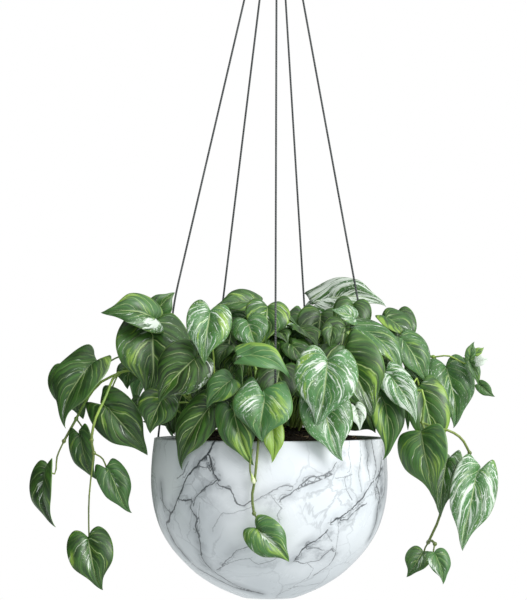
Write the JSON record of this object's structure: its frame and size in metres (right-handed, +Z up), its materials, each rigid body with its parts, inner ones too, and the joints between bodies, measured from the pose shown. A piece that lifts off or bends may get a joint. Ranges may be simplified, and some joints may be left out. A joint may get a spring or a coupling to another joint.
{
  "type": "hanging potted plant",
  "caption": "Round marbled bowl hung on thin cords from a ring, filled with soil and trailing vines of heart-shaped variegated leaves",
  "frame": {"origin": "Where a ceiling hook bears on the inside of the hanging ring, at its top; everything else hangs below", "axes": "+Z up, -Y toward the viewer, +X to the viewer's right"},
  "size_m": [0.469, 0.2699, 0.7705],
  "materials": {
    "marble": "satin white with grey veins",
    "soil": "loose potting soil",
    "cord": "twisted grey cord",
    "steel": "bright wire and crimp",
    "leaf": "waxy leaf with white and lime streaks",
    "stem": "green stem"
  },
  "bodies": {
    "root": {"hanging_ring": "steel", "gather_sleeve": "steel", "pot": "marble", "soil": "soil", "cord_front": "cord", "cord_right": "cord", "cord_back_right": "cord", "cord_back_left": "cord", "cord_left": "cord", "leaf_front_hanging": "leaf", "leaf_front_heart": "leaf", "leaf_front_sprawl": "leaf", "leaf_front_lime": "leaf", "leaf_front_right_heart": "leaf", "leaf_front_right_low": "leaf", "leaf_front_left_low": "leaf", "leaf_curled": "leaf", "leaf_dark_heart": "leaf", "leaf_right_low": "leaf", "leaf_right_far": "leaf", "leaf_right_dark": "leaf", "leaf_right_twin_a": "leaf", "leaf_right_twin_b": "leaf", "leaf_right_striped": "leaf", "leaf_right_slim": "leaf", "leaf_right_behind": "leaf", "leaf_arching": "leaf", "leaf_right_upper": "leaf", "leaf_right_outer": "leaf", "leaf_right_rolled": "leaf", "leaf_right_crest": "leaf", "leaf_left_outer": "leaf", "leaf_left_fork": "leaf", "leaf_left_end": "leaf", "leaf_left_hang": "leaf", "leaf_left_low": "leaf", "leaf_left_lowest": "leaf", "leaf_left_crest": "leaf", "leaf_left_large": "leaf", "leaf_left_shade": "leaf", "leaf_left_brown": "leaf", "leaf_top_light": "leaf", "leaf_top_marbled": "leaf", "leaf_top_yellow": "leaf", "leaf_top_left": "leaf", "leaf_top_right": "leaf", "leaf_back_shade": "leaf", "leaf_back_a": "leaf", "leaf_back_b": "leaf", "leaf_back_c": "leaf", "leaf_back_d": "leaf", "leaf_back_e": "leaf", "leaf_back_f": "leaf", "vine_left": "stem", "stem_front_left": "stem", "vine_front": "stem", "stem_front_right": "stem", "vine_right": "stem", "stem_back_left": "stem", "stem_back_right": "stem"}
  },
  "joints": []
}
